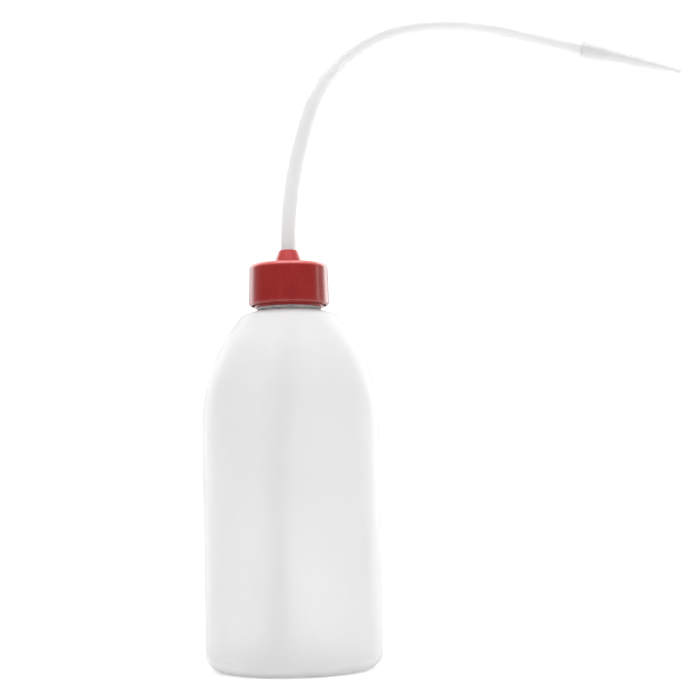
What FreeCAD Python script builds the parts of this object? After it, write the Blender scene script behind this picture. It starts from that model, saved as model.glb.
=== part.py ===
import FreeCAD, Part
import math
import os

# Squeeze wash bottle of 500 ml: a blow-moulded bottle with a domed shoulder, a double-walled
# screw cap with a conical nose, a sealing disc under the cap, one bent delivery tube that runs
# from the floor of the bottle through the nose and over in an arch, and a tapered jet pushed
# onto the tube's free end.
#
# Millimetres and degrees. +Z is up, and the origin is the centre of the ring that the bottle
# stands on. The tube bends in the XZ plane and points its jet towards +X.

Vector = FreeCAD.Vector
AXIS = Vector(0, 0, 1)
HINGE = Vector(0, 1, 0)

# Bottle
BODY_R = 37.5           # outside of the straight body
BODY_TOP = 102.3        # height where the straight body ends and the dome begins
DOME_R = 72.0           # radius of the dome's arc, tangent to the straight body
DOME_CORNER_R = 3.5     # rounding between the dome and the sloping shoulder
DOME_RISE = 49.0        # from the end of the straight body to the foot of the neck
SHOULDER_SLOPE = 18.0   # slope of the short shoulder inside the dome's corner
WALL = 1.2
HEEL_R = 7.5            # rounding between the straight body and the foot
FOOT_WIDTH = 3.0        # flat ring that the bottle stands on
PUSH_UP = 2.6           # height of the flat middle of the base above the foot
BASE_RAMP = 6.0         # width of the ramp from the foot ring up to that middle

# Neck
COLLAR_R = 13.35        # plain collar below the thread, as wide as the thread's crest
COLLAR_HEIGHT = 2.4
COLLAR_FOOT_R = 1.2     # hollow rounding where the collar meets the shoulder
THREAD_HEIGHT = 1.15    # from the thread's crest down to the neck's plain wall
NECK_WALL = 1.8         # from that wall to the bore
NECK_HEIGHT = 16.6      # from the foot of the neck to the rim
BORE_EDGE_R = 0.9       # rounding where the bore opens into the dome
RIM_EDGE = 0.4          # bevel on both edges of the rim

# Delivery tube
TUBE_R = 3.25
TUBE_WALL = 1.1
ARCH = [(178.0, 20.0), (54.5, 61.5), (110.0, 22.0)]     # (bend radius, turn) from the nose on
ARM_RUN = 44.5          # straight run from the arch to the tube's end
FREE_RUN = 0.6          # straight run above the nose, before the arch
DIP_LEAN = 5.5          # lean of the tube's middle stretch inside the bottle
DIP_BEND_R = 150.0
DIP_DROP = 10.0         # straight run below the cap's sleeve, before the tube leans
DIP_SIDE_GAP = 0.65     # room between the offset tube and the neck's bore
DIP_FOOT_GAP = 1.4      # room between the tube's foot and the floor of the bottle
DIP_FOOT_SLANT = 35.0   # slant cut of the tube's foot, which keeps it from sealing on the floor

# Sealing disc
SEAL_THICKNESS = 1.4
SEAL_EDGE_GAP = 0.5     # room between the disc and the cap's threaded skirt
SEAL_SLEEVE_GAP = 0.4   # room between the disc and the cap's sleeve

# Screw cap
CAP_DRAFT = 1.6         # draft of the outer skirt
CAP_PANEL = 1.7         # thickness of the top
CAP_TOP_EDGE_R = 1.9
CAP_LOW_EDGE_R = 1.1
CAP_SHELL = 1.15        # wall of the outer skirt
CAP_THREAD_GAP = 0.35   # room between the collar and the threaded inner skirt
CAP_THREAD_WALL = 1.2   # wall of the threaded inner skirt
CAP_SKIRT_GAP = 1.1     # open gap between the two skirts at the outer one's foot
CAP_WEB = 1.9           # depth of the solid ring that joins the two skirts to the top
CAP_LIP = 0.95          # how far the threaded skirt stands out below the outer skirt
CAP_LIP_BEVEL = 0.35
CAP_FOOT_GAP = 1.1      # room between that lip and the foot of the neck
NOSE_HEIGHT = 6.25
NOSE_FOOT_WALL = 3.05   # wall of the nose around the tube, at its foot and at its top
NOSE_TOP_WALL = 0.65
NOSE_FOOT_FILLET = 0.7
NOSE_BEVEL = 0.3
SLEEVE_LENGTH = 8.0     # sleeve below the top, which steadies the tube
SLEEVE_ROOT_WALL = 1.8
SLEEVE_TIP_WALL = 1.2
SLEEVE_LEAD = 0.4       # bevel that leads the tube into the sleeve
TUBE_RUNNING_GAP = 0.05

# Jet
JET_LENGTH = 44.5
JET_SOCKET_DEPTH = 10.0
JET_SOCKET_WALL = 0.4
JET_FIT_GAP = 0.02
JET_MOUTH_BEVEL = 0.25
JET_WAIST_TAPER = 0.75  # how much thinner the jet is where the quick taper takes over
JET_WAIST_RUN = 18.0    # from the end of the socket to the waist
JET_TIP_WALL = 1.15     # wall around the orifice
JET_TIP_EDGE_R = 0.8
JET_BEND_R = 40.0       # soft change from one taper to the next
JET_ORIFICE_R = 0.6
JET_LAND = 3.0          # straight length of the orifice

NECK_FOOT = BODY_TOP + DOME_RISE
RIM = NECK_FOOT + NECK_HEIGHT
CAP_UNDERSIDE = RIM + SEAL_THICKNESS
CAP_TOP = CAP_UNDERSIDE + CAP_PANEL
NOSE_TOP = CAP_TOP + NOSE_HEIGHT
SLEEVE_FOOT = CAP_UNDERSIDE - SLEEVE_LENGTH
NECK_R = COLLAR_R - THREAD_HEIGHT
BORE_R = NECK_R - NECK_WALL
TUBE_BORE_R = TUBE_R - TUBE_WALL
TUBE_HOLE_R = TUBE_R + TUBE_RUNNING_GAP
SLEEVE_R = TUBE_HOLE_R + SLEEVE_ROOT_WALL
THREAD_SKIRT_R = COLLAR_R + CAP_THREAD_GAP


def at(r, z):
    """A point of a half section, at radius r and height z."""
    return Vector(r, 0, z)


def polar(centre, radius, degrees):
    """The point at an angle on a circle in the XZ plane, counted from +X towards +Z."""
    angle = math.radians(degrees)
    return centre + Vector(radius * math.cos(angle), 0, radius * math.sin(angle))


def line(a, b):
    return Part.LineSegment(a, b).toShape()


def arc(centre, radius, start, end):
    middle = polar(centre, radius, (start + end) / 2)
    return Part.Arc(polar(centre, radius, start), middle, polar(centre, radius, end)).toShape()


def rounded(a, corner, b, radius):
    """An arc tangent to both runs a-corner and corner-b, and its two ends."""
    to_a = (a - corner).normalize()
    to_b = (b - corner).normalize()
    half = to_a.getAngle(to_b) / 2
    reach = radius / math.tan(half)
    bisector = (to_a + to_b).normalize()
    centre = corner + bisector * (radius / math.sin(half))
    start = corner + to_a * reach
    end = corner + to_b * reach
    return Part.Arc(start, centre - bisector * radius, end).toShape(), start, end


def outline(points):
    """Closed edges through (r, z) or (r, z, rounding) points."""
    corners = [at(*point[:2]) for point in points]
    turns = []
    for i, point in enumerate(points):
        after = corners[(i + 1) % len(corners)]
        if len(point) == 3:
            turns.append(rounded(corners[i - 1], corners[i], after, point[2]))
        else:
            turns.append((None, corners[i], corners[i]))
    edges = [bend for bend, start, end in turns if bend is not None]
    for (_, _, end), (_, start, _) in zip(turns, turns[1:] + turns[:1]):
        edges.append(line(end, start))
    return edges


def turned(edges):
    """The solid that a half section makes when it turns about Z."""
    section = Part.Face(Part.Wire(Part.__sortEdges__(edges)))
    return section.revolve(Vector(0, 0, 0), AXIS, 360)


def base_edges(inset):
    """The raised middle of the base, its ramp, the foot ring and the heel."""
    foot_out = BODY_R - HEEL_R
    foot_in = foot_out - FOOT_WIDTH
    mitre = inset * math.tan(math.atan2(PUSH_UP, BASE_RAMP) / 2)
    ramp_foot = at(foot_in + mitre, inset)
    ramp_top = at(foot_in - BASE_RAMP + mitre, PUSH_UP + inset)
    return [
        line(at(0, PUSH_UP + inset), ramp_top),
        line(ramp_top, ramp_foot),
        line(ramp_foot, at(foot_out, inset)),
        arc(at(foot_out, HEEL_R), HEEL_R - inset, -90, 0),
    ]


def shoulder_edges(inset, neck_r, top, neck_round):
    """The dome, its corner, the sloping shoulder and the neck's wall up to a height."""
    slope = math.radians(SHOULDER_SLOPE)
    out = Vector(math.sin(slope), 0, math.cos(slope))
    dome_centre = at(BODY_R - DOME_R, BODY_TOP)
    # the corner's circle touches the dome's circle from inside, and the shoulder's line
    lift = (at(COLLAR_R, NECK_FOOT) - dome_centre).dot(out) - DOME_CORNER_R
    dome_end = math.degrees(math.asin(lift / (DOME_R - DOME_CORNER_R))) - SHOULDER_SLOPE
    corner_centre = polar(dome_centre, DOME_R - DOME_CORNER_R, dome_end)
    corner_end = 90 - SHOULDER_SLOPE
    start = polar(corner_centre, DOME_CORNER_R - inset, corner_end)
    end = at(neck_r, start.z + (start.x - neck_r) * math.tan(slope))
    neck_top = at(neck_r, top)
    bend, bend_start, bend_end = rounded(start, end, neck_top, neck_round)
    return [
        arc(dome_centre, DOME_R - inset, 0, dome_end),
        arc(corner_centre, DOME_CORNER_R - inset, dome_end, corner_end),
        line(start, bend_start),
        bend,
        line(bend_end, neck_top),
    ]


def bottle_form(inset, neck_r, top, neck_round):
    """The bottle up to a height as a solid: its outside, or its hollow when inset is the wall."""
    body_r = BODY_R - inset
    return turned([
        *base_edges(inset),
        line(at(body_r, HEEL_R), at(body_r, BODY_TOP)),
        *shoulder_edges(inset, neck_r, top, neck_round),
        line(at(neck_r, top), at(0, top)),
        line(at(0, top), at(0, PUSH_UP + inset)),
    ])


def bottle():
    neck = turned(outline([
        (0, NECK_FOOT),
        (NECK_R, NECK_FOOT),
        (NECK_R, RIM - RIM_EDGE),
        (NECK_R - RIM_EDGE, RIM),
        (0, RIM),
    ]))
    mouth = turned(outline([
        (0, RIM - RIM_EDGE),
        (BORE_R, RIM - RIM_EDGE),
        (BORE_R + RIM_EDGE, RIM),
        (0, RIM),
    ]))
    outside = bottle_form(0, COLLAR_R, NECK_FOOT + COLLAR_HEIGHT, COLLAR_FOOT_R)
    hollow = bottle_form(WALL, BORE_R, RIM, BORE_EDGE_R)
    return outside.fuse(neck).cut(hollow).cut(mouth).removeSplitter()


def sealing_disc():
    inner = SLEEVE_R + SEAL_SLEEVE_GAP
    outer = THREAD_SKIRT_R - SEAL_EDGE_GAP
    return turned(outline([
        (inner, RIM),
        (outer, RIM),
        (outer, CAP_UNDERSIDE),
        (inner, CAP_UNDERSIDE),
    ]))


def screw_cap():
    thread_out = THREAD_SKIRT_R + CAP_THREAD_WALL
    shell_low = thread_out + CAP_SKIRT_GAP
    cap_r = shell_low + CAP_SHELL
    lip_foot = NECK_FOOT + CAP_FOOT_GAP
    skirt_foot = lip_foot + CAP_LIP
    draft = math.tan(math.radians(CAP_DRAFT))
    top_r = cap_r - (CAP_TOP - skirt_foot) * draft
    web_foot = CAP_UNDERSIDE - CAP_WEB
    shell_high = shell_low - (web_foot - skirt_foot) * draft
    nose_draft = (NOSE_FOOT_WALL - NOSE_TOP_WALL) / NOSE_HEIGHT
    return turned(outline([
        (TUBE_HOLE_R, SLEEVE_FOOT + SLEEVE_LEAD),
        (TUBE_HOLE_R + SLEEVE_LEAD, SLEEVE_FOOT),
        (TUBE_HOLE_R + SLEEVE_TIP_WALL, SLEEVE_FOOT),
        (SLEEVE_R, CAP_UNDERSIDE),
        (THREAD_SKIRT_R, CAP_UNDERSIDE),
        (THREAD_SKIRT_R, lip_foot),
        (thread_out - CAP_LIP_BEVEL, lip_foot),
        (thread_out, lip_foot + CAP_LIP_BEVEL),
        (thread_out, web_foot),
        (shell_high, web_foot),
        (shell_low, skirt_foot),
        (cap_r, skirt_foot, CAP_LOW_EDGE_R),
        (top_r, CAP_TOP, CAP_TOP_EDGE_R),
        (TUBE_HOLE_R + NOSE_FOOT_WALL, CAP_TOP, NOSE_FOOT_FILLET),
        (TUBE_HOLE_R + NOSE_TOP_WALL + NOSE_BEVEL * nose_draft, NOSE_TOP - NOSE_BEVEL),
        (TUBE_HOLE_R + NOSE_TOP_WALL - NOSE_BEVEL, NOSE_TOP),
        (TUBE_HOLE_R, NOSE_TOP),
    ]))


class Route:
    """A path of straight runs and tangent bends in the XZ plane. Its heading is the angle from
    +Z towards +X, and a bend with a positive turn leans further towards +X."""

    def __init__(self, point, heading):
        self.point = point
        self.heading = heading
        self.edges = []

    def direction(self):
        angle = math.radians(self.heading)
        return Vector(math.sin(angle), 0, math.cos(angle))

    def run(self, length):
        end = self.point + self.direction() * length
        self.edges.append(line(self.point, end))
        self.point = end

    def bend(self, radius, turn):
        side = math.copysign(1, turn)
        angle = math.radians(self.heading)
        centre = self.point + Vector(math.cos(angle), 0, -math.sin(angle)) * (radius * side)
        spoke = self.point - centre
        half = FreeCAD.Rotation(HINGE, turn / 2).multVec(spoke)
        whole = FreeCAD.Rotation(HINGE, turn).multVec(spoke)
        self.edges.append(Part.Arc(self.point, centre + half, centre + whole).toShape())
        self.point = centre + whole
        self.heading += turn


def tube_route():
    """The tube's centre line, from its foot in the bottle to its end inside the jet."""
    offset = BORE_R - TUBE_R - DIP_SIDE_GAP
    lean = math.radians(DIP_LEAN)
    slant_run = (offset - 2 * DIP_BEND_R * (1 - math.cos(lean))) / math.sin(lean)
    lean_height = 2 * DIP_BEND_R * math.sin(lean) + slant_run * math.cos(lean)
    foot = PUSH_UP + WALL + DIP_FOOT_GAP
    lean_top = SLEEVE_FOOT - DIP_DROP
    route = Route(at(-offset, foot), 0)
    route.run(lean_top - lean_height - foot)
    route.bend(DIP_BEND_R, DIP_LEAN)
    route.run(slant_run)
    route.bend(DIP_BEND_R, -DIP_LEAN)
    route.run(NOSE_TOP + FREE_RUN - lean_top)
    for radius, turn in ARCH:
        route.bend(radius, turn)
    route.run(ARM_RUN)
    return route


def swept(route, radius):
    start = route.edges[0].Vertexes[0].Point
    ring = Part.Wire(Part.makeCircle(radius, start, AXIS))
    return Part.Wire(route.edges).makePipeShell([ring], True, False)


def delivery_tube(route):
    tube = swept(route, TUBE_R).cut(swept(route, TUBE_BORE_R))
    foot = route.edges[0].Vertexes[0].Point
    size = 4 * TUBE_R
    wedge = Part.makeBox(size, size, size, Vector(-size / 2, -size / 2, -size))
    wedge.rotate(Vector(0, 0, 0), HINGE, DIP_FOOT_SLANT)
    wedge.translate(foot + AXIS * (TUBE_R * math.tan(math.radians(DIP_FOOT_SLANT))))
    return tube.cut(wedge)


def jet(route):
    socket_r = TUBE_R + JET_FIT_GAP
    root_r = socket_r + JET_SOCKET_WALL
    waist = JET_SOCKET_DEPTH + JET_WAIST_RUN
    body = turned(outline([
        (socket_r, 0),
        (root_r - JET_MOUTH_BEVEL, 0),
        (root_r, JET_MOUTH_BEVEL),
        (root_r, JET_SOCKET_DEPTH, JET_BEND_R),
        (root_r - JET_WAIST_TAPER, waist, JET_BEND_R),
        (JET_ORIFICE_R + JET_TIP_WALL, JET_LENGTH, JET_TIP_EDGE_R),
        (JET_ORIFICE_R, JET_LENGTH),
        (JET_ORIFICE_R, JET_LENGTH - JET_LAND),
        (TUBE_BORE_R, JET_SOCKET_DEPTH),
        (socket_r, JET_SOCKET_DEPTH),
    ]))
    mouth = route.point - route.direction() * JET_SOCKET_DEPTH
    body.Placement = FreeCAD.Placement(mouth, FreeCAD.Rotation(HINGE, route.heading))
    return body


def report_tube(tube, route):
    length = sum(edge.Length for edge in route.edges)
    section = math.pi * (TUBE_R ** 2 - TUBE_BORE_R ** 2)
    print(f"tube: {length:.1f} mm long, bends of radius", [radius for radius, turn in ARCH])
    print(f"tube: volume {tube.Volume:.0f}, section times length {section * length:.0f}")


def main():
    route = tube_route()
    parts = {
        "bottle": bottle(),
        "sealing_disc": sealing_disc(),
        "screw_cap": screw_cap(),
        "delivery_tube": delivery_tube(route),
        "jet": jet(route),
    }
    report_tube(parts["delivery_tube"], route)
    os.makedirs("parts", exist_ok=True)
    for name, shape in parts.items():
        solid = shape.Solids[0] if len(shape.Solids) == 1 else shape
        print(name, "valid", solid.isValid(), "solids", len(shape.Solids), f"volume {solid.Volume:.0f}")
        solid.exportStep(f"parts/{name}.step")


main()
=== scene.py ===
# %% [markdown]
# # A laboratory wash bottle
#
# This notebook dresses a finished CAD model of a 500 ml wash bottle: a milky blow-moulded bottle,
# a red screw cap with a conical nose, and a bent delivery tube that ends in a tapered jet. The
# CAD pieces keep their exact shape and place. What is added here is what a drawing leaves out:
# the screw threads, the seams that the moulds leave, and the way each plastic takes the light.
#
# The first cell loads the CAD model as a fixed frame. Everything is in metres from here on.

# %% Load the frame
import math

import bmesh
import bpy
from mathutils import Matrix, Vector


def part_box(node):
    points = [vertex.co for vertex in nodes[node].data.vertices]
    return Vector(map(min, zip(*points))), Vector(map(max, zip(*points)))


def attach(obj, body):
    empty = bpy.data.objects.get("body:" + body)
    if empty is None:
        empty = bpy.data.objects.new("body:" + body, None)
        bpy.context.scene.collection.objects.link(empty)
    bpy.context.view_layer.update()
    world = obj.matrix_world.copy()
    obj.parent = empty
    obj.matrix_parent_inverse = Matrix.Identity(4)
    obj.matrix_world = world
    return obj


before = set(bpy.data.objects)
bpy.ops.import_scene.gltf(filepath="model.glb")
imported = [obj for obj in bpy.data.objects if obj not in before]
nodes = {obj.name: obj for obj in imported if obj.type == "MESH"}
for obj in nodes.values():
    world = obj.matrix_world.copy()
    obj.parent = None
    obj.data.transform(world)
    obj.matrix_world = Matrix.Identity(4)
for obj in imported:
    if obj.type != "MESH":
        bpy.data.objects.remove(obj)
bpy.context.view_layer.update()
MM = 0.001
print("CAD pieces:", ", ".join(sorted(nodes)))

# %% [markdown]
# ## Camera
#
# The eye is level with the middle of the bottle's body, so the foot is seen slightly from above
# and the cap slightly from below.
# A long lens keeps the bottle's sides parallel. The camera is built from three directions
# (right, up, forward) instead of three angles, because directions are easier to check.

# %% Place the camera
EYE_DISTANCE = 0.666
EYE_HEIGHT = 0.0812
LENS = 80.4
LOOK_RIGHT = math.radians(2.21)
LOOK_UP = math.radians(4.53)
ROLL = math.radians(1.11)


def add_camera():
    level = Vector((math.sin(LOOK_RIGHT), math.cos(LOOK_RIGHT), 0))
    side = Vector((math.cos(LOOK_RIGHT), -math.sin(LOOK_RIGHT), 0))
    forward = level * math.cos(LOOK_UP) + Vector((0, 0, 1)) * math.sin(LOOK_UP)
    upward = side.cross(forward)
    right = side * math.cos(ROLL) - upward * math.sin(ROLL)
    up = side * math.sin(ROLL) + upward * math.cos(ROLL)
    data = bpy.data.cameras.new("camera")
    data.lens = LENS
    data.sensor_width = 36
    data.clip_start = 0.01
    camera = bpy.data.objects.new("camera", data)
    turn = Matrix((right, up, -forward)).transposed().to_4x4()
    camera.matrix_world = Matrix.Translation((0, -EYE_DISTANCE, EYE_HEIGHT)) @ turn
    bpy.context.collection.objects.link(camera)
    bpy.context.scene.camera = camera
    return camera


camera = add_camera()
print("camera looks", round(math.degrees(LOOK_UP), 1), "degrees up with a", LENS, "mm lens")

# %% [markdown]
# ## Writing a shader like arithmetic
#
# A material in Blender is a graph of nodes. Drawn by hand that is fine, but in a script every
# "multiply these two" becomes five lines. The small class below wraps one output socket and
# teaches it Python's operators, so that `1 - mask * 0.5` adds its Math nodes by itself.
# Everything that isn't arithmetic on numbers goes through `Graph.node`, which makes one node,
# sets its options and then fills its inputs with values or links.

# %% A socket that knows arithmetic
class Number:
    """A number that may change from point to point: one output socket of a node graph."""

    def __init__(self, graph, socket):
        self.graph = graph
        self.socket = socket

    def math(self, operation, *values):
        inputs = dict(enumerate(values))
        return self.graph.node("ShaderNodeMath", {"operation": operation}, inputs)

    def __add__(self, other):
        return self.math("ADD", self, other)

    def __radd__(self, other):
        return self.math("ADD", other, self)

    def __sub__(self, other):
        return self.math("SUBTRACT", self, other)

    def __rsub__(self, other):
        return self.math("SUBTRACT", other, self)

    def __mul__(self, other):
        return self.math("MULTIPLY", self, other)

    def __rmul__(self, other):
        return self.math("MULTIPLY", other, self)

    def __truediv__(self, other):
        return self.math("DIVIDE", self, other)

    def __rtruediv__(self, other):
        return self.math("DIVIDE", other, self)

    def __pow__(self, power):
        return self.math("POWER", self, power)

    def absolute(self):
        return self.math("ABSOLUTE", self)

    def sine(self):
        return self.math("SINE", self)

    def cosine(self):
        return self.math("COSINE", self)

    def at_least(self, low):
        return self.math("MAXIMUM", self, low)

    def at_most(self, high):
        return self.math("MINIMUM", self, high)

    def ramp(self, low, high):
        """0 below low, 1 above high, and a smooth step between them."""
        inputs = {"Value": self, "From Min": low, "From Max": high}
        return self.graph.node("ShaderNodeMapRange", {"interpolation_type": "SMOOTHSTEP"}, inputs)


print("a Number answers to", ", ".join(name for name in vars(Number) if name != "__init__"))

# %% A graph that makes nodes
class Graph:
    """A node tree of a material or the world, with one method that makes any node."""

    def __init__(self, tree):
        self.tree = tree
        self.tree.nodes.clear()

    def node(self, kind, settings=None, inputs=None, output=0):
        made = self.tree.nodes.new(kind)
        for name, value in (settings or {}).items():
            if name == "stops":
                self.set_stops(made.color_ramp, value)
            else:
                setattr(made, name, value)
        for key, value in (inputs or {}).items():
            if isinstance(value, Number):
                self.tree.links.new(value.socket, made.inputs[key])
            else:
                made.inputs[key].default_value = value
        if not made.outputs:
            return made
        return Number(self, made.outputs[output])

    @staticmethod
    def set_stops(ramp, stops):
        while len(ramp.elements) < len(stops):
            ramp.elements.new(1.0)
        for element, (place, colour) in zip(ramp.elements, stops):
            element.position = place
            element.color = colour

    def place(self):
        """A point of the piece, in metres in the frame that every piece shares."""
        return self.node("ShaderNodeTexCoord", output=3)

    def parts(self, vector):
        return [self.node("ShaderNodeSeparateXYZ", inputs={0: vector}, output=i) for i in range(3)]

    def stretch(self, vector, scale):
        return self.node("ShaderNodeVectorMath", {"operation": "MULTIPLY"}, {0: vector, 1: scale})

    def noise(self, vector, size, detail=2.0, rough=0.5):
        """Soft random blotches about `size` metres across, between 0 and 1."""
        inputs = {"Vector": vector, "Scale": 1 / size, "Detail": detail, "Roughness": rough}
        return self.node("ShaderNodeTexNoise", inputs=inputs)

    def blend(self, amount, a, b):
        """A colour between a and b."""
        settings = {"data_type": "RGBA", "clamp_factor": True}
        return self.node("ShaderNodeMix", settings, {0: amount, 6: a, 7: b}, output=2)

    def bump(self, height, depth, strength=1.0):
        """Surface relief: height runs from 0 to 1 and stands for `depth` metres."""
        inputs = {"Strength": strength, "Distance": depth, "Height": height}
        return self.node("ShaderNodeBump", inputs=inputs)


print("a Graph can make", ", ".join(name for name in vars(Graph) if name[0] != "_"))

# %% [markdown]
# ## Floor and light
#
# Pale plastic is best shown in a white room, with the light coming from above and from behind.
# Each part of the room has its own task. The white ceiling lights the shoulder, the top edge of
# the cap and its nose. A tall strip on each side behind the bottle draws a pale rim down both
# edges of the cap. The room behind the camera is dimmer, and that is what keeps the face of the
# cap a deep red. The strips are there for their reflections only: they add no soft light, or the
# edges of the bottle would glow.

# %% Light the studio
BACKDROP = 1.15         # what the camera sees behind the bottle
BEHIND = 0.75           # light of the room behind the bottle
BEFORE = 0.35           # and behind the camera, at eye level
CEILING = 1.4
FLOOR_GLOW = 0.35       # the floor is a light table, which keeps the shadow under the bottle faint


def add_world():
    world = bpy.data.worlds.new("studio")
    bpy.context.scene.world = world
    world.use_nodes = True
    graph = Graph(world.node_tree)
    across, away, up = graph.parts(graph.node("ShaderNodeTexCoord", output=0))
    wall = BEFORE + (BEHIND - BEFORE) * away.ramp(0.0, 0.5)
    glow = wall + up.ramp(0.3, 0.75) * (CEILING - wall)
    seen = graph.node("ShaderNodeLightPath", output=0)
    strength = glow + seen * (BACKDROP - glow)
    colour = (1.0, 1.0, 1.0, 1.0)
    light = graph.node("ShaderNodeBackground", inputs={"Color": colour, "Strength": strength})
    graph.node("ShaderNodeOutputWorld", inputs={"Surface": light})


def add_soft_box(name, size, place, aim, brightness, only_gloss=False):
    """A rectangular light. Its brightness is on the same scale as the room's."""
    data = bpy.data.lights.new(name, "AREA")
    data.shape = "RECTANGLE"
    data.size, data.size_y = size
    data.energy = brightness * math.pi * size[0] * size[1]
    box = bpy.data.objects.new(name, data)
    turn = (Vector(aim) - Vector(place)).to_track_quat("-Z", "Y").to_matrix().to_4x4()
    box.matrix_world = Matrix.Translation(place) @ turn
    box.visible_camera = False
    box.visible_diffuse = not only_gloss
    box.visible_transmission = not only_gloss
    bpy.context.collection.objects.link(box)
    return box


def around(degrees, distance, height):
    """A place around the bottle: 0 degrees is straight behind it, 90 is on its right."""
    angle = math.radians(degrees)
    return (distance * math.sin(angle), distance * math.cos(angle), height)


def add_floor(size=6.0):
    half = size / 2
    corners = [(-half, -half, 0), (half, -half, 0), (half, half, 0), (-half, half, 0)]
    mesh = bpy.data.meshes.new("floor")
    mesh.from_pydata(corners, [], [(0, 1, 2, 3)])
    floor = bpy.data.objects.new("floor", mesh)
    bpy.context.collection.objects.link(floor)
    material = bpy.data.materials.new("floor_paper")
    material.use_nodes = True
    graph = Graph(material.node_tree)
    paper = graph.noise(graph.place(), 4 * MM, 3.0)
    colour = graph.blend(paper, (0.93, 0.93, 0.93, 1), (0.95, 0.95, 0.95, 1))
    inputs = {"Base Color": colour, "Roughness": 0.9, "Specular IOR Level": 0.1,
              "Emission Color": (1.0, 1.0, 1.0, 1.0), "Emission Strength": FLOOR_GLOW}
    surface = graph.node("ShaderNodeBsdfPrincipled", inputs=inputs)
    graph.node("ShaderNodeOutputMaterial", inputs={"Surface": surface})
    mesh.materials.append(material)
    return floor


bpy.context.scene.view_settings.view_transform = "Standard"
add_world()
add_floor()
add_soft_box("overhead", (0.9, 0.6), (0, -0.25, 1.1), (0, 0, 0.1), 4.0)
add_soft_box("strip_left", (0.45, 1.0), around(-42, 0.9, 0.4), (0, 0, 0.15), 1.8, True)
add_soft_box("strip_right", (0.45, 1.0), around(42, 0.9, 0.4), (0, 0, 0.15), 3.0, True)
add_soft_box("thin_strip", (0.05, 0.9), around(86, 0.9, 0.35), (0, 0, 0.15), 6.0, True)

# %% [markdown]
# ## Milky polyethylene
#
# Low-density polyethylene is clear in itself, but tiny crystals in it scatter light, so a wall
# looks like thin milk: bright, slightly blue-grey, and you can just make out a dark shape behind
# it. Two things do this here. Part of the light goes through the wall and is blurred on the
# way (transmission with a high roughness), and the rest is scattered back as from a white
# paint. Three weak reliefs then break the surface: broad waves from uneven cooling, a fine
# orange peel from the mould, and short hairline scuffs from the bench.
#
# A blow mould is two halves that close on a hot tube of plastic. They leave a hair-thin ridge
# down both sides of the bottle, and a broader welded line across its base, where they pinched
# the tube shut. Both lie in the plane between the halves, so one mask of the distance from that
# plane draws them.

# %% Make the polyethylene finishes
def principled(name, constants, build):
    """A material whose `build(graph)` gives the inputs that change over the surface."""
    material = bpy.data.materials.new(name)
    material.use_nodes = True
    graph = Graph(material.node_tree)
    surface = graph.node("ShaderNodeBsdfPrincipled", inputs={**constants, **build(graph)})
    graph.node("ShaderNodeOutputMaterial", inputs={"Surface": surface})
    return material


def no_seam(side, height):
    """The tube and the jet have no line from their making."""
    return 0.0


def mould_seam(side, height):
    """1 on the ridge where the two mould halves met, and on the weld across the base."""
    hair = 1 - side.absolute().ramp(0.08 * MM, 0.3 * MM)
    weld = 1 - side.absolute().ramp(0.3 * MM, 0.9 * MM)
    return hair * 0.5 + weld * (1 - height.ramp(3.0 * MM, 4.2 * MM))


def milky(deep, pale, rough, scuffed_to, relief_depth, seam=no_seam):
    """What changes over a polyethylene wall: colour, roughness and relief."""
    def build(graph):
        place = graph.place()
        side, height = graph.parts(place)[1:]
        cloud = graph.noise(place, 30 * MM, 3.0)
        peel = graph.noise(place, 1.1 * MM)
        hair = graph.noise(graph.stretch(place, (1.0, 1.0, 0.08)), 0.6 * MM)
        scuff = hair.ramp(0.6, 0.72) * (1 - height.ramp(0, scuffed_to))
        colour = graph.blend(cloud.ramp(0.3, 0.7), deep, pale)
        waves = graph.noise(place, 12 * MM)
        relief = waves * 0.7 + peel * 0.22 + scuff * 0.08 + seam(side, height) * 0.9
        return {
            "Base Color": graph.blend(scuff * 0.25, colour, (0.97, 0.97, 0.97, 1)),
            "Roughness": rough + (peel - 0.5) * 0.12 + scuff * 0.2,
            "Normal": graph.bump(relief, relief_depth, 0.6),
        }
    return build


bottle_wall = principled(
    "milky_bottle_wall",
    {"IOR": 1.51, "Transmission Weight": 0.7, "Specular IOR Level": 0.05},
    milky((0.905, 0.90, 0.905, 1), (0.93, 0.925, 0.93, 1), 0.42, 90 * MM, 0.22 * MM, mould_seam))
tube_wall = principled(
    "milky_tube_wall",
    {"IOR": 1.51, "Transmission Weight": 0.55, "Specular IOR Level": 0.4},
    milky((0.89, 0.885, 0.885, 1), (0.92, 0.92, 0.915, 1), 0.32, 20 * MM, 0.06 * MM))
jet_wall = principled(
    "milky_jet_wall",
    {"IOR": 1.51, "Transmission Weight": 0.45, "Specular IOR Level": 0.4},
    milky((0.81, 0.81, 0.81, 1), (0.84, 0.84, 0.835, 1), 0.3, 20 * MM, 0.05 * MM))
print("finishes:", bottle_wall.name, tube_wall.name, jet_wall.name)

# %% [markdown]
# ## Red polypropylene
#
# The cap is injection-moulded polypropylene with a strong red pigment. It shines more than the
# bottle, but it isn't polished: the mould leaves a faint grain, the plastic sets in broad bands
# along the way it flowed, and hands wear its foot a little paler. The outer rim of its top is
# painted paler, a painted highlight of the light from above. The nose thins towards its top, and
# there its red is painted brighter: a painted glow for the light that passes through it.

# %% Make the cap's finish
CAP_FOOT, CAP_HEAD = (corner[2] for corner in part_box("screw_cap"))
NOSE_HEIGHT = 6.25 * MM
CAP_TOP = CAP_HEAD - NOSE_HEIGHT


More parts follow.
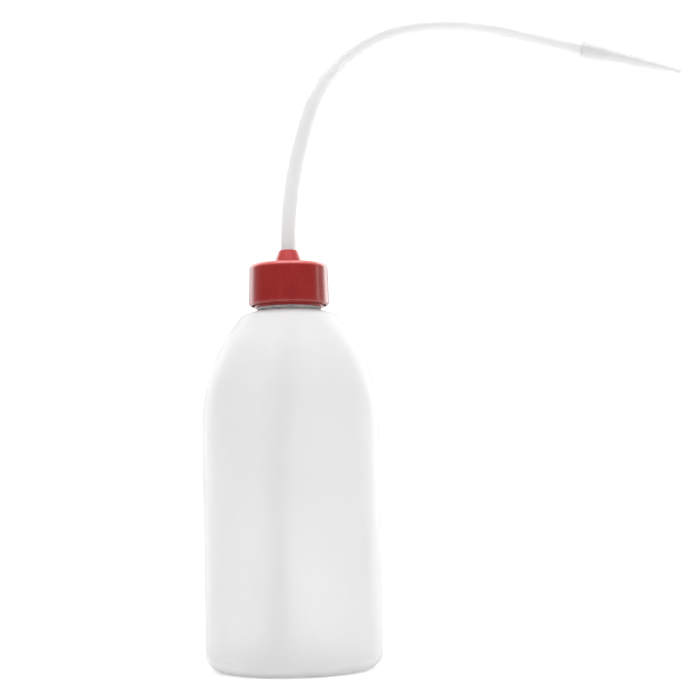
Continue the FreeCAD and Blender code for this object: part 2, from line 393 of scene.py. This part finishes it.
def red_plastic(graph):
    place = graph.place()
    across, side, height = graph.parts(place)
    reach = (across * across + side * side) ** 0.5
    flow = graph.noise(graph.stretch(place, (1.0, 1.0, 0.25)), 6 * MM, 3.0)
    grain = graph.noise(place, 0.7 * MM)
    worn = (1 - height.ramp(CAP_FOOT, CAP_FOOT + 4 * MM)) * graph.noise(place, 2.5 * MM, 3.0)
    top_edge = height.ramp(CAP_TOP - 2.1 * MM, CAP_TOP - 0.6 * MM)
    # Painted highlight: the outer rim of the top is painted a paler red for the light from above
    # that falls on it.
    top_rim_painted_highlight = top_edge * reach.ramp(14.0 * MM, 15.2 * MM)
    # Painted glow: the nose is painted a brighter red towards its top, standing in for light that
    # passes through its thin wall.
    nose = height.ramp(CAP_TOP, CAP_TOP + 2 * MM)
    colour = graph.blend(flow.ramp(0.25, 0.75), (0.20, 0.0035, 0.003, 1), (0.23, 0.006, 0.005, 1))
    colour = graph.blend(top_rim_painted_highlight, colour, (0.56, 0.085, 0.08, 1))
    colour = graph.blend(nose, colour, (0.41, 0.005, 0.004, 1))
    return {
        "Base Color": graph.blend(worn * 0.35, colour, (0.40, 0.03, 0.028, 1)),
        "Roughness": 0.26 + (flow - 0.5) * 0.14 + worn * 0.12,
        "Normal": graph.bump(grain * 0.35 + flow * 0.65, 0.12 * MM, 0.5),
    }


cap_plastic = principled(
    "red_cap_plastic",
    {"IOR": 1.49, "Specular IOR Level": 0.4, "Coat Weight": 0.35, "Coat Roughness": 0.2},
    red_plastic)
print("finish:", cap_plastic.name)

# %% [markdown]
# ## Foam of the sealing disc
#
# The disc under the cap is closed-cell polyethylene foam: matt, off-white, and pitted all over
# by cut bubbles. In a Voronoi pattern, each point is as high as it is far from the nearest of
# many scattered centres. That makes a round pit at each centre and leaves a skin between them.
# The pits are also painted darker than the skin: painted shade in the hollows.

# %% Make the foam
def foam(graph):
    place = graph.place()
    inputs = {"Vector": place, "Scale": 1 / (0.5 * MM)}
    cell = graph.node("ShaderNodeTexVoronoi", {"feature": "F1"}, inputs)
    skin = cell.ramp(0.1, 0.55)
    return {
        # Painted shade: the pits are painted darker than the skin between them.
        "Base Color": graph.blend(skin, (0.66, 0.65, 0.61, 1), (0.83, 0.82, 0.78, 1)),
        "Roughness": 0.75 + skin * 0.15,
        "Normal": graph.bump(skin, 0.1 * MM, 0.8),
    }


seal_foam = principled("sealing_foam", {"Specular IOR Level": 0.2}, foam)
print("finish:", seal_foam.name)

# %% [markdown]
# ## Dressing the CAD pieces
#
# The five CAD pieces already have the right shape, so they are neither rebuilt nor moved. Each
# one only gets its finish, by putting a material in the slots that its object already has.

# %% Give each CAD piece its finish
finishes = {
    "bottle": bottle_wall,
    "sealing_disc": seal_foam,
    "screw_cap": cap_plastic,
    "delivery_tube": tube_wall,
    "jet": jet_wall,
}
for name, material in finishes.items():
    for slot in nodes[name].material_slots:
        slot.material = material
    print(name, "->", material.name)

# %% [markdown]
# ## Screw threads
#
# A thread is one ridge that climbs round a wall, and a rule makes all of it: turn by so much,
# rise by so much, and keep the same rounded section. Geometry Nodes suit that. A flat grid is
# rolled up: its length becomes the climb and its width goes round the section. At both ends the
# section shrinks to a point, as the run-outs of a moulded thread do, which also closes the mesh.
#
# The same tree makes both threads. On the neck the ridge stands outwards, and in the cap a
# negative height turns it inwards. The cap's ridge starts half a pitch lower, so with the cap
# screwed down it lies in the groove of the neck's ridge, and the two don't touch.

# %% A tree that winds a ridge
POINTS_ALONG = 221
POINTS_AROUND_SECTION = 17
RUN_OUT = 0.07              # share of the length over which each end fades out
FULLNESS = 0.7              # below 1 the section is fuller than an ellipse
ROOT_DEPTH = 0.12           # how far the ridge is sunk in its wall, as a share of its height
MERGE_DISTANCE = 0.002 * MM


def add_sockets(tree, sizes):
    """Named inputs for a tree's sizes and its material, and one output for what it makes."""
    for name, value in sizes.items():
        socket = tree.interface.new_socket(name, in_out="INPUT", socket_type="NodeSocketFloat")
        socket.default_value = value
    tree.interface.new_socket("Material", in_out="INPUT", socket_type="NodeSocketMaterial")
    tree.interface.new_socket("Geometry", in_out="OUTPUT", socket_type="NodeSocketGeometry")


def thread_tree():
    tree = bpy.data.node_groups.new("screw_thread", "GeometryNodeTree")
    sizes = {"Radius": 12 * MM, "Height": 1 * MM, "Half Width": 0.7 * MM, "Start": 0.0,
             "Pitch": 3 * MM, "Turns": 2.75}
    add_sockets(tree, sizes)
    graph = Graph(tree)
    radius, height, half_width, start, pitch, turns = [
        graph.node("NodeGroupInput", output=name) for name in sizes]
    material = graph.node("NodeGroupInput", output="Material")
    grid = graph.node("GeometryNodeMeshGrid", inputs={
        "Size X": 1.0, "Size Y": 1.0,
        "Vertices X": POINTS_ALONG, "Vertices Y": POINTS_AROUND_SECTION})
    lengthwise, crosswise = graph.parts(graph.node("GeometryNodeInputPosition"))[:2]
    along = lengthwise + 0.5
    section = crosswise * math.tau
    swell = section.sine()
    taper = along.ramp(0.0, RUN_OUT) * (1 - along.ramp(1 - RUN_OUT, 1.0))
    ridge = swell.at_least(0.0) ** FULLNESS + swell.at_most(0.0) * ROOT_DEPTH
    reach = radius + ridge * height * taper
    turned = along * turns * math.tau
    climb = start + along * turns * pitch + section.cosine() * half_width * taper
    point = graph.node("ShaderNodeCombineXYZ", inputs={
        0: reach * turned.cosine(), 1: reach * turned.sine(), 2: climb})
    rolled = graph.node("GeometryNodeSetPosition", inputs={"Geometry": grid, "Position": point})
    closed = graph.node("GeometryNodeMergeByDistance",
                        inputs={"Geometry": rolled, "Distance": MERGE_DISTANCE})
    smooth = graph.node("GeometryNodeSetShadeSmooth", inputs={"Geometry": closed})
    real = graph.node("GeometryNodeRealizeInstances", inputs={"Geometry": smooth})
    dressed = graph.node("GeometryNodeSetMaterial",
                         inputs={"Geometry": real, "Material": material})
    graph.node("NodeGroupOutput", inputs={"Geometry": dressed})
    return tree


screw_thread = thread_tree()
print("tree", screw_thread.name, "has", len(screw_thread.nodes), "nodes")

# %% [markdown]
# A tree only describes a mesh. To keep the result as a plain piece, the tree is run once on an
# empty object, the evaluated mesh is copied out, and the modifier goes. Last, neighbouring points
# are merged and every face is turned outwards, because a ridge that was rolled inwards comes out
# of the rule inside out.

# %% Keep what a tree makes
def close_outwards(mesh):
    """Merge doubled points and turn all faces outwards."""
    work = bmesh.new()
    work.from_mesh(mesh)
    bmesh.ops.remove_doubles(work, verts=work.verts, dist=MERGE_DISTANCE)
    bmesh.ops.recalc_face_normals(work, faces=work.faces)
    open_edges = sum(not edge.is_manifold for edge in work.edges)
    work.to_mesh(mesh)
    work.free()
    return open_edges


def keep(tree, name, inputs):
    """Run a tree on an empty object and leave its result as a plain mesh."""
    piece = bpy.data.objects.new(name, bpy.data.meshes.new(name))
    bpy.context.collection.objects.link(piece)
    modifier = piece.modifiers.new("made", "NODES")
    modifier.node_group = tree
    for socket in tree.interface.items_tree:
        if socket.in_out == "INPUT":
            modifier[socket.identifier] = inputs[socket.name]
    ready = piece.evaluated_get(bpy.context.evaluated_depsgraph_get())
    mesh = bpy.data.meshes.new_from_object(ready)
    piece.modifiers.clear()
    piece.data = mesh
    open_edges = close_outwards(mesh)
    print(name, len(mesh.polygons), "faces,", open_edges, "open edges")
    return piece


print("points closer than", MERGE_DISTANCE / MM, "mm are merged")

# %% Wind the two threads
PITCH = 3 * MM
RIDGE_HEIGHT = 1.1 * MM
NECK_WALL_RADIUS = 12.2 * MM
SKIRT_WALL_RADIUS = 13.7 * MM
BELOW_RIM = 11.9 * MM
RIDGE = {"Half Width": 0.7 * MM, "Pitch": PITCH}
neck_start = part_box("bottle")[1][2] - BELOW_RIM

neck_thread = keep(screw_thread, "neck_thread", {
    **RIDGE, "Radius": NECK_WALL_RADIUS, "Height": RIDGE_HEIGHT, "Start": neck_start,
    "Turns": 2.75, "Material": bottle_wall})
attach(neck_thread, "bottle")

cap_thread = keep(screw_thread, "cap_thread", {
    **RIDGE, "Radius": SKIRT_WALL_RADIUS, "Height": -RIDGE_HEIGHT,
    "Start": neck_start - PITCH / 2, "Turns": 2.5, "Material": cap_plastic})
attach(cap_thread, "closure")

# %% [markdown]
# ## Gate mark
#
# Molten plastic enters the cap's mould through a small hole in its flat top. When the cap is
# pulled off, it leaves a low ring with a dished middle. It is a turned shape, so its half
# section is spun round a short axis of its own, beside the nose.

# %% Turn the gate mark
GATE_STEPS = 40
GATE_SECTION = [(0.0, 0.06), (0.35, 0.06), (0.6, 0.22), (0.8, 0.24), (1.0, 0.12), (1.1, -0.1),
                (0.0, -0.1)]
GATE_PLACE = Vector((-6.6 * MM, 8.9 * MM, CAP_TOP))


def add_gate_mark():
    work = bmesh.new()
    points = [work.verts.new(GATE_PLACE + Vector((r, 0, z)) * MM) for r, z in GATE_SECTION]
    lines = [work.edges.new(pair) for pair in zip(points, points[1:])]
    bmesh.ops.spin(work, geom=points + lines, cent=GATE_PLACE, axis=(0, 0, 1),
                   angle=math.tau, steps=GATE_STEPS, use_duplicate=False)
    mesh = bpy.data.meshes.new("gate_mark")
    work.to_mesh(mesh)
    work.free()
    open_edges = close_outwards(mesh)
    print("gate_mark", len(mesh.polygons), "faces,", open_edges, "open edges")
    mesh.shade_smooth()
    mesh.materials.append(cap_plastic)
    piece = bpy.data.objects.new("gate_mark", mesh)
    bpy.context.collection.objects.link(piece)
    return piece


gate_mark = add_gate_mark()
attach(gate_mark, "closure")

# %% [markdown]
# ## Size and finish
#
# Dressing must not change the object's size.
